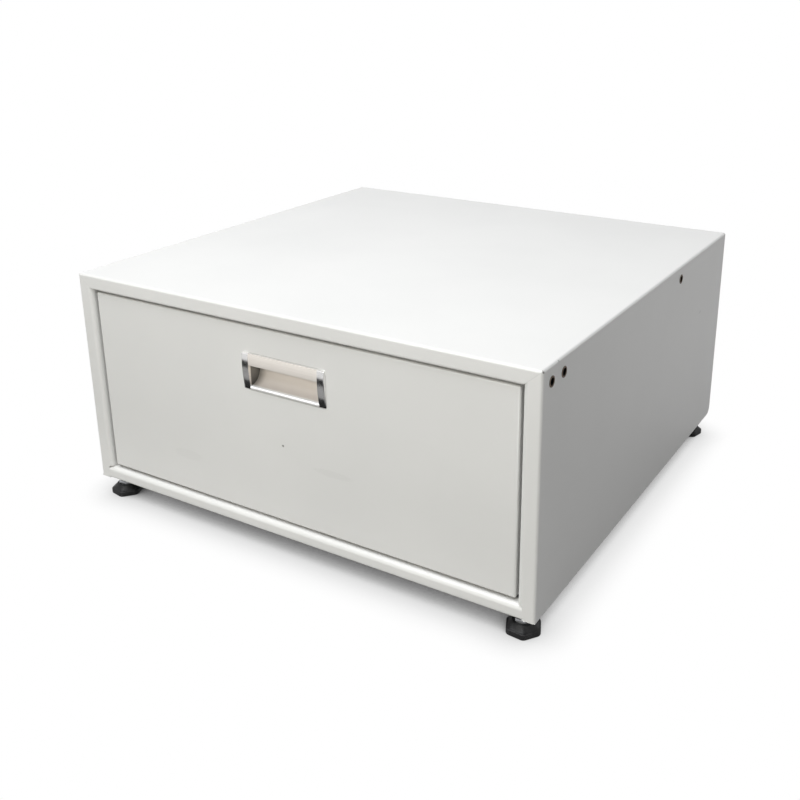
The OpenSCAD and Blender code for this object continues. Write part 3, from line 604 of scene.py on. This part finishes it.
weldedCase(["case_top", "frame_top_rail", "frame_stile_left", "frame_stile_right",
            "case_side_left", "case_side_right"])
smoothCopies("bottomRailFront", ["front_bottom_rail"], "case", "white_enamel_case")
smoothCopies("bottomRailRear", ["rear_bottom_rail"], "case", "white_enamel_case")
smoothCopies("backSheet", ["back_panel"], "case", "galvanised_sheet")
smoothCopies("sills", ["sill_left", "sill_right"], "case", "galvanised_sheet")
print("case welded")

smoothCopies("drawerFace", ["drawer_front_skin"], "drawer", "white_enamel_front")
smoothCopies("drawerLiner", ["drawer_front_liner"], "drawer", "galvanised_sheet")
smoothCopies("drawerBox", ["drawer_tub"], "drawer", "white_enamel_tub")
smoothCopies("drawerRear", ["drawer_back"], "drawer", "white_enamel_tub")
print("drawer box made")


# pull: one outline, in (distance in front of the drawer's face, height), carried along it

handleShape = {
    # millimetres; the hood's face leans back by its crown
    "length": 110, "height": 42, "capWidth": 9, "lap": 0.5,
    "hoodProud": 2.7, "hoodHeight": 13.5, "hoodThick": 1.5, "hoodEdge": 0.4, "crown": 1.3,
    "hollowRadius": 16, "hollowWall": 1.5, "hollowOut": 0.2, "roofGap": 0.1, "roofBend": 0.35,
    "lipHeight": 3.5, "lipProud": 1.7,
    "capProud": 3.2, "capFootProud": 0.4, "capFootBack": 0.2, "capFootUp": 0.25, "capEdge": 1.2,
    "capRoll": 0.8, "capGroove": 0.15, "capTongue": 3, "tongueRoll": 0.3,
}
hollowZ = handleShape["lap"] + handleShape["lipHeight"] + handleShape["hollowRadius"]
hoodFoot = handleShape["height"] - handleShape["hoodHeight"]
bodyHalf = handleShape["length"] / 2 - handleShape["capWidth"]


def hollowBack(count):
    # the back of the hollow: an arc from the drawer's face down and round to the face again
    s = handleShape
    radius = s["hollowRadius"] + s["hollowWall"]
    edge = math.degrees(math.acos(-s["hollowOut"] / radius))
    return arc((s["hollowOut"], hollowZ), radius, edge, 360 - edge, count)


def handleLoop():
    # the closed outline, seen from its right end with the front to the right: round the lip, up the inside
    # of the hollow, under the hood and round its hem, up its face (front - crown * t squared), over its
    # rounded top, and down behind the hollow
    s = handleShape
    low, high = s["lap"], s["height"] - s["lap"]
    front, edge, bend = s["hoodProud"], s["hoodEdge"], s["roofBend"]
    lip, hem = s["lipHeight"] / 2, s["hoodThick"] / 2
    lipBar = arc((s["lipProud"] - lip, low + lip), lip, -88, 88, 14)
    inside = arc((s["hollowOut"], hollowZ), s["hollowRadius"], 269, 91, 44)
    ceiling = hollowZ + s["hollowRadius"] + s["roofGap"]
    roof = arc((front - s["hoodThick"] - bend, ceiling - bend), bend, 90, 0, 5)
    hemLine = arc((front - hem, hoodFoot + hem), hem, 180, 360, 11)
    t = np.linspace(0, 1, 16)[1:-1]
    up = hoodFoot + hem + t * (high - edge - hoodFoot - hem)
    face = np.stack([front - s["crown"] * t ** 2, up], 1)
    over = arc((front - s["crown"] - edge, high - edge), edge, 10, 90, 8)
    return np.concatenate([lipBar, inside, roof, hemLine, face, over,
                           [[0, high]], hollowBack(44), [[0, low]]])


def alongPull(loop, stations):
    # rings of the outline at each (x, inset) station: y = face - distance, z = foot + height
    rings = []
    for x, inset in stations:
        out = shrunk(loop, inset)
        rings.append(np.column_stack([np.full(len(loop), x), -out[:, 0], out[:, 1]]))
    rings = np.array(rings) * mm
    rings[..., 1] += skinY
    rings[..., 2] += pullLow.z
    return rings


def capLoop():
    # end cap: one arc, upright level with the hood's foot and through the cap's own foot, to a round edge
    s = handleShape
    drop, edge, high = s["capProud"] - s["capFootProud"], s["capEdge"], s["height"]
    bow = (hoodFoot ** 2 + drop ** 2) / (2 * drop)
    z = np.linspace(s["capFootUp"], high - edge, 30)
    curve = np.stack([s["capProud"] - bow + np.sqrt(bow ** 2 - (hoodFoot - z) ** 2), z], 1)
    over = arc((curve[-1, 0] - edge, high - edge), edge, 5, 90, 10)
    foot = [[0, 0], [s["capFootProud"] - s["capFootBack"], 0]]
    return np.concatenate([foot, curve, over, [[0, high]]])


def pullCap(side):
    # the cap's outline with a rolled outer edge, and its tongue behind the drawer's face
    s = handleShape
    outer, roll, groove = s["length"] / 2, s["capRoll"], s["capGroove"]
    stations = [(bodyHalf, groove), (bodyHalf + groove, 0.0)]
    stations += [(outer - roll + roll * math.sin(a), roll - roll * math.cos(a))
                 for a in np.radians(np.linspace(0, 90, 7))]
    rings = alongPull(capLoop(), [(side * x, inset) for x, inset in stations])
    rings[..., 1] = np.minimum(rings[..., 1], skinY)
    tip, bend = bodyHalf + s["capTongue"], s["tongueRoll"]
    stations = [(bodyHalf, 0.0), (tip - bend, 0.0), (tip, bend)]
    cheek = alongPull(hollowBack(40), [(side * x, inset) for x, inset in stations])
    points, faces = joined([(rings, closedTube(rings)), (cheek, closedTube(cheek))])
    name = "pullCap" + ("Left" if side < 0 else "Right")
    return pieceFrom(name, points, faces, "drawer", "handle_chrome", 28)


rings = alongPull(handleLoop(), [(bodyHalf * share, 0.0) for share in (-1, -0.5, 0, 0.5, 1)])
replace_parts(pieceFrom("pullBody", rings, closedTube(rings), "drawer", "handle_satin", 40), "handle_body")
for side, label in ((-1, "left"), (1, "right")):
    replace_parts(pullCap(side), "handle_cap_" + label)
print("handle made")


# feet: a six-sided pad and a threaded stud with its collar for each, and their lock nuts and weld nuts

footShape = {
    # degrees by which each pad stands turned
    "turns": {"front_left": -10, "front_right": -65, "rear_left": 20, "rear_right": -44},
    # the rest in millimetres; pairs are an edge's reach and its middle
    "flats": 35, "cornerRadius": 6, "rim": 6.5, "height": 12, "boss": 24, "floor": 3, "clear": 0.05,
    "sole": 5, "soleEdge": (0.9, 0.25), "rimEdge": (1.2, 0.35), "bossEdge": (0.5, 0.15),
    "boreEdge": 0.4, "climb": 0.75, "padColumns": 96,
    "stud": 10, "pitch": 1.5, "threadDepth": 0.9, "threadFade": 0.8, "studTip": 1.0, "studLift": 0.1,
    "rodColumns": 36, "rowsPerTurn": 12, "waveGain": 1.15, "waveCut": 0.08,
    "collar": 4, "collarLap": 1.2, "nutFlats": 17, "nutClear": 0.05, "nutColumns": 72,
    "nutCrest": 0.25, "coneSlope": 1.73, "coneHeight": 0.6, "nutMouth": 0.5, "nutMouthDeep": 0.4,
}
footAt = {}
for label in footShape["turns"]:
    low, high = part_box("foot_stud_" + label)
    footAt[label] = ((low.x + high.x) / 2, (low.y + high.y) / 2, high.z)


def sixSided(angle, flats, corner=0.0):
    # distance from the centre to a six-sided outline with corners at 0, 60 and so on: the flat's distance
    # over the cosine, and near each corner the far hit of a circle of the corner's radius
    fold = angle % (math.pi / 3) - math.pi / 6
    flat = flats / 2 / np.cos(fold)
    if not corner:
        return flat
    out = (flats / 2 - corner) / math.cos(math.pi / 6)
    phi = np.abs(fold) - math.pi / 6
    bend = out * np.cos(phi) + np.sqrt(np.maximum(corner ** 2 - (out * np.sin(phi)) ** 2, 0))
    limit = math.atan(out * math.sin(math.pi / 6) / (flats / 2))
    return np.where(np.abs(fold) > limit, bend, flat)


def turned(radii, heights, at, spin=0.0):
    # rings at the given radii (rows x angles) and heights about an upright axis, in metres
    angle = fullTurn(radii.shape[1])[None, :] + spin
    x, y = at[0] + radii * mm * np.cos(angle), at[1] + radii * mm * np.sin(angle)
    return np.stack([x, y, np.broadcast_to(heights, radii.shape) * mm], -1)


def threadWave(height, angle, pitch):
    # a thread's triangle wave, once in each pitch and turn: 0 at its crests and 1 at its roots
    return np.abs(((height / pitch - angle / (2 * np.pi)) % 1.0) - 0.5) * 2


def footPad(at, spin):
    # rows go up the outside from the floor and down the bore: the outline changes from six sides to round
    # while the height above the rim rises as a power of 1 - cos
    s = footShape
    columns = s["padColumns"]
    hexa = sixSided(fullTurn(columns), s["flats"], s["cornerRadius"])
    boss, bore, rim, top = s["boss"] / 2, s["stud"] / 2 + s["clear"], s["rim"], s["height"]
    edge, middle = s["soleEdge"]
    rows = [(hexa - s["sole"], 0), (hexa - edge, 0), (hexa - middle, middle), (hexa, edge)]
    edge, middle = s["rimEdge"]
    rows += [(hexa, rim - edge), (hexa - middle, rim - middle), (hexa - edge, rim)]
    crown, middle = s["bossEdge"]
    for share in np.linspace(0, 1, 10)[1:]:
        climb = (1 - math.cos(share * math.pi / 2)) ** s["climb"]
        rows.append(((hexa - edge) * (1 - share) + boss * share, rim + (top - crown - rim) * climb))
    mouth = s["boreEdge"]
    for radius, height in ((boss - middle, top - middle), (boss - crown, top),
                           (bore + mouth, top), (bore, top - mouth), (bore, s["floor"])):
        rows.append((np.full(columns, radius), height))
    radii = np.array([row[0] for row in rows])
    heights = np.array([row[1] for row in rows])[:, None]
    rings = turned(radii, heights, at, spin)
    return rings, closedTube(rings)


def screwRod(at, low, high):
    # threaded rod: radius = major - depth * thread wave, its crests and roots cut flat, faded at its ends
    s = footShape
    rows = int((high - low) / s["pitch"] * s["rowsPerTurn"]) + 1
    height = np.linspace(low, high, rows)[:, None]
    wave = threadWave(height, fullTurn(s["rodColumns"])[None, :], s["pitch"])
    wave = np.clip(wave * s["waveGain"] - s["waveCut"], 0, 1)
    fade = np.clip(np.minimum(height - low, high - height) / s["threadFade"], 0, 1)
    radii = s["stud"] / 2 - s["threadDepth"] * wave * fade
    cone = s["stud"] / 2 - (height - high + s["studTip"])
    radii = np.where(height > high - s["studTip"], np.minimum(radii, cone), radii)
    rings = turned(radii, height, at)
    return rings, closedTube(rings)


def hexNut(at, low, high, bore):
    # outside: the smaller of the six-sided outline and a 30 degree cone at each end; inside: a plain bore
    s = footShape
    flats, columns = s["nutFlats"], s["nutColumns"]
    crest = flats / 2 + s["nutCrest"]
    cone = (flats / 2 / math.cos(math.pi / 6) - crest) * s["coneHeight"]
    steps = np.concatenate([[0, 0.001], np.linspace(0.05, 1, 6)]) * cone
    up = np.concatenate([low + steps, high - steps[::-1]])
    limit = crest + np.maximum(np.minimum(up - low, high - up), 0)[:, None] * s["coneSlope"]
    outside = np.minimum(sixSided(fullTurn(columns), flats)[None, :], limit)
    inner, deep = np.full((1, columns), bore), s["nutMouthDeep"]
    mouth = inner + s["nutMouth"]
    radii = np.concatenate([mouth, outside, mouth, inner, inner])
    heights = np.concatenate([[low], up, [high], [high - deep], [low + deep]])[:, None]
    rings = turned(radii, heights, at)
    return rings, gridFaces(len(radii), columns, True)


for label, at in footAt.items():
    s, corner = footShape, label.title().replace("_", "")
    rings, faces = footPad(at, math.radians(s["turns"][label]))
    pad = pieceFrom("footPad" + corner, rings, faces, "foot_pad_" + label, "black_foot_plastic", 50)
    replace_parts(pad, "foot_pad_" + label)
    rod = screwRod(at, s["floor"] + s["studLift"], at[2] / mm)
    collar = hexNut(at, s["height"], s["height"] + s["collar"], s["stud"] / 2 - s["collarLap"])
    points, faces = joined([rod, collar])
    stud = pieceFrom("footStud" + corner, points, faces, "foot_stud_" + label, "bright_zinc", 32)
    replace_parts(stud, "foot_stud_" + label)

for nodeName, pieceName in (("foot_lock_nuts", "lockNuts"), ("foot_weld_nuts", "weldNuts")):
    low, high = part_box(nodeName)
    bore = footShape["stud"] / 2 + footShape["nutClear"]
    points, faces = joined([hexNut(at, low.z / mm, high.z / mm, bore) for at in footAt.values()])
    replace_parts(pieceFrom(pieceName, points, faces, "case", "bright_zinc", 32), nodeName)
print("feet made")


# threaded inserts in the sides

insertShape = {
    # millimetres: the insert, then its place below the top and from the frame's face or the rear
    "hole": 6.8, "sleeve": 10, "rim": 11.4, "rimThick": 0.5, "rimEdge": (0.35, 0.1), "length": 14,
    "pitch": 1.25, "depth": 0.65, "mouth": 0.7, "fade": 1.0, "columns": 48, "rows": 130,
    "drop": 16.5, "front": 19.4, "second": 46.3, "rear": 185.7,
}


def threadInsert(side, y):
    # rings about the insert's axis: round the rim's edge, along the sleeve, and back along a thread whose
    # radius is the hole's plus depth * thread wave, widened at both mouths
    s = insertShape
    rim, sleeve, hole = s["rim"] / 2, s["sleeve"] / 2, s["hole"] / 2
    proud, length, mouth = -s["rimThick"], s["length"], hole + s["mouth"]
    edge, middle = s["rimEdge"]
    outer = np.array([[mouth, proud], [rim - edge, proud], [rim - middle, proud + middle],
                      [rim, proud + edge], [rim, 0], [sleeve, 0], [sleeve, length], [mouth, length]])
    angle = fullTurn(s["columns"])[None, :]
    deep = np.linspace(length, proud, s["rows"])[:, None]
    fade = np.clip(np.minimum(deep - proud, length - deep) / s["fade"], 0, 1)
    wave = threadWave(deep, angle, s["pitch"])
    thread = hole + s["mouth"] * (1 - fade) + s["depth"] * wave * fade
    across = (len(outer), s["columns"])
    radii = np.concatenate([np.broadcast_to(outer[:, :1], across), thread]) * mm
    depth = np.concatenate([np.broadcast_to(outer[:, 1:], across), np.broadcast_to(deep, thread.shape)])
    x, z = side * (sideX - depth * mm), topZ - s["drop"] * mm
    rings = np.stack([x, y + radii * np.cos(angle), z + radii * np.sin(angle)], -1)
    return rings, gridFaces(len(radii), s["columns"], True)


insertYs = [faceY + insertShape["front"] * mm, faceY + insertShape["second"] * mm,
            rearY - insertShape["rear"] * mm]
points, faces = joined([threadInsert(side, y) for side in (-1, 1) for y in insertYs])
inserts = pieceFrom("threadInserts", points, faces, "case", "yellow_zinc", 40)
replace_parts(inserts, "side_thread_inserts")
print("inserts made")


# slides: the three members of each, the ball rows in their cages, and what fixes them
for label in ("left", "right"):
    end = label.title()
    smoothCopies("slideOuter" + end, ["slide_outer_" + label], "case", "slide_steel")
    smoothCopies("slideMiddle" + end, ["slide_middle_" + label], "slide_middle_" + label, "slide_steel")
    smoothCopies("slideInner" + end, ["slide_inner_" + label], "drawer", "slide_steel")
    for row in ("outer", "inner"):
        smoothCopies(row + "Balls" + end, [row + "_balls_" + label], row + "_cage_" + label, "ball_steel", 60)
smoothCopies("slideRivets", ["slide_rivets"], "case", "bright_zinc")
smoothCopies("slideScrews", ["drawer_slide_screws"], "drawer", "bright_zinc")
smoothCopies("faceScrews", ["drawer_front_screws"], "drawer", "bright_zinc")
smoothCopies("backRivets", ["drawer_back_rivets"], "drawer", "bright_zinc")
print("slides made")


# floor, cards, lamps, sky and camera

floorLook = {
    "size": 12.0,
    "bounce": 0.4,                              # the grey that it throws up at the object
    "near": 0.05, "wide": 0.5,                  # reach of the line of shade and of the soft one, metres
    # darkest and lightest strength, and how open the floor is to the room at each
    "nearTone": (0.5, 1.0, 0.2, 0.95), "wideTone": (0.08, 1.0, 0.05, 0.40),
    "mirrored": (0.25, 0.95, 0.30, 1.25),
}


def openness(tree, distance):
    # how open the floor is to the room above it, within the distance
    around = tree.nodes.new("ShaderNodeAmbientOcclusion")
    around.inputs["Distance"].default_value = distance
    around.samples = 16
    return around.outputs["AO"]


def seenRays(tree):
    # 1 for any ray of the camera, of a mirror or through glass, and 1 for a mirror's ray alone
    path = tree.nodes.new("ShaderNodeLightPath").outputs
    either = combined(tree, "MAXIMUM", path["Is Camera Ray"], path["Is Glossy Ray"])
    return combined(tree, "MAXIMUM", either, path["Is Transmission Ray"]), path["Is Glossy Ray"]


def stageMaterial(name):
    # an empty material, its tree, and the socket that its surface goes into
    material = bpy.data.materials.new(name)
    material.use_nodes = True
    tree = material.node_tree
    tree.nodes.remove(tree.nodes["Principled BSDF"])
    return material, tree, tree.nodes["Material Output"].inputs["Surface"]


def stagePiece(name, corners, material):
    mesh = bpy.data.meshes.new(name)
    mesh.from_pydata(corners, [], [(0, 1, 2, 3)])
    mesh.materials.append(material)
    piece = placed(name, mesh)
    piece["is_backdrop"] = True
    return piece


def studioFloor():
    # white where it is seen, shaded near the object, and a plain grey for the light that it throws back
    look = floorLook
    material, tree, surface = stageMaterial("studioFloor")
    seen, mirror = seenRays(tree)
    near, wide = openness(tree, look["near"]), openness(tree, look["wide"])
    plain = combined(tree, "MULTIPLY", spread(tree, near, *look["nearTone"]),
                     spread(tree, wide, *look["wideTone"]))
    extra = combined(tree, "SUBTRACT", spread(tree, wide, *look["mirrored"]), plain)
    extra = combined(tree, "MULTIPLY", extra, mirror)
    white = tree.nodes.new("ShaderNodeEmission")
    tree.links.new(combined(tree, "ADD", plain, extra), white.inputs["Strength"])
    grey = tree.nodes.new("ShaderNodeBsdfDiffuse")
    grey.inputs["Color"].default_value = (look["bounce"],) * 3 + (1,)
    mix = tree.nodes.new("ShaderNodeMixShader")
    tree.links.new(seen, mix.inputs["Fac"])
    tree.links.new(grey.outputs["BSDF"], mix.inputs[1])
    tree.links.new(white.outputs["Emission"], mix.inputs[2])
    tree.links.new(mix.outputs["Shader"], surface)
    half = look["size"] / 2
    corners = [(-half, -half, 0), (half, -half, 0), (half, half, 0), (-half, half, 0)]
    stagePiece("studioFloor", corners, material)


floorCards = {
    # nearest and farthest distance in front of the frame's face, and the card's grey
    "nearCard": (0.10, 0.22, 0.02),
    "middleCard": (0.22, 0.375, 0.30),
    "farCard": (0.375, 0.515, 0.01),
}
cardEnds, cardHeight = (-1.6, 1.0), 0.002       # metres


def layCards():
    # strips of card on the floor that give the chrome its dark bands: only glossy rays meet them
    left, right = cardEnds
    for name, (near, far, grey) in floorCards.items():
        material, tree, surface = stageMaterial(name)
        glow = tree.nodes.new("ShaderNodeEmission")
        glow.inputs["Strength"].default_value = grey
        tree.links.new(glow.outputs["Emission"], surface)
        outline = ((left, near), (left, far), (right, far), (right, near))
        card = stagePiece(name, [(x, faceY - y, cardHeight) for x, y in outline], material)
        card.visible_camera = card.visible_diffuse = card.visible_shadow = False
        card.visible_transmission = card.visible_volume_scatter = False


lamps = {
    # place, aimed at, width, height, watts, colour
    "overFront": ((-0.1, -0.9, 1.9), (0, -0.1, 0.2), 1.6, 1.6, 40, (0.965, 0.982, 1.0)),
    "overhead": ((0.2, 0.4, 2.0), (0, 0, 0.2), 2.2, 2.2, 4, (1.0, 1.0, 1.0)),
    "rearRight": ((2.4, 0.5, 1.1), (0.3, 0, 0.15), 1.6, 1.2, 8.5, (1.0, 1.0, 1.0)),
    "rearLeft": ((-2.0, 1.8, 0.6), (0, 0, 0.15), 1.8, 0.9, 26, (1.0, 0.99, 0.97)),
    "frontLow": ((0.2, -2.4, 0.9), (0, 0, 0.15), 1.6, 1.2, 18, (1.0, 0.97, 0.86)),
}


def hangLamps():
    for name, (at, target, width, height, watts, colour) in lamps.items():
        light = bpy.data.lights.new(name, "AREA")
        light.shape = "RECTANGLE"
        light.size, light.size_y = width, height
        light.energy = watts
        light.color = colour
        lamp = placed(name, light)
        lamp.location = at
        aim = np.array(target, float) - np.array(at, float)
        yaw = math.atan2(aim[0], -aim[1])
        tilt = math.atan2(math.hypot(aim[0], aim[1]), -aim[2])
        lamp.rotation_euler = (tilt, 0, yaw + math.pi)
        lamp.visible_camera = False
        lamp.visible_glossy = not name.startswith("rear")       # so these put no glare on the top


def openSky():
    # white where it is seen or mirrored, with no light of its own on the object
    world = bpy.data.worlds.new("studio")
    bpy.context.scene.world = world
    world.use_nodes = True
    background = world.node_tree.nodes["Background"]
    world.node_tree.links.new(seenRays(world.node_tree)[0], background.inputs["Strength"])
    background.inputs["Color"].default_value = (1, 1, 1, 1)


view = {
    # place in metres, angles in radians, lens and sensor in millimetres, shift in widths of the picture
    "at": (0.639545, faceY - 0.745653, 0.621593),
    "azimuth": 0.5345204920, "elevation": 0.3305713035,
    "lens": 44.876, "sensor": 36, "shift": (-0.0548, -0.1068), "clip": (0.01, 60),
}


def placeCamera():
    lens = bpy.data.cameras.new("photoView")
    lens.lens, lens.sensor_width = view["lens"], view["sensor"]
    lens.shift_x, lens.shift_y = view["shift"]
    lens.clip_start, lens.clip_end = view["clip"]
    camera = placed("photoView", lens)
    camera.location = view["at"]
    camera.rotation_euler = (math.pi / 2 - view["elevation"], 0, view["azimuth"])
    bpy.context.scene.camera = camera


studioFloor()
layCards()
hangLamps()
openSky()
placeCamera()
bpy.context.scene.view_settings.view_transform = "Standard"
print("stage set")

low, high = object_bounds()
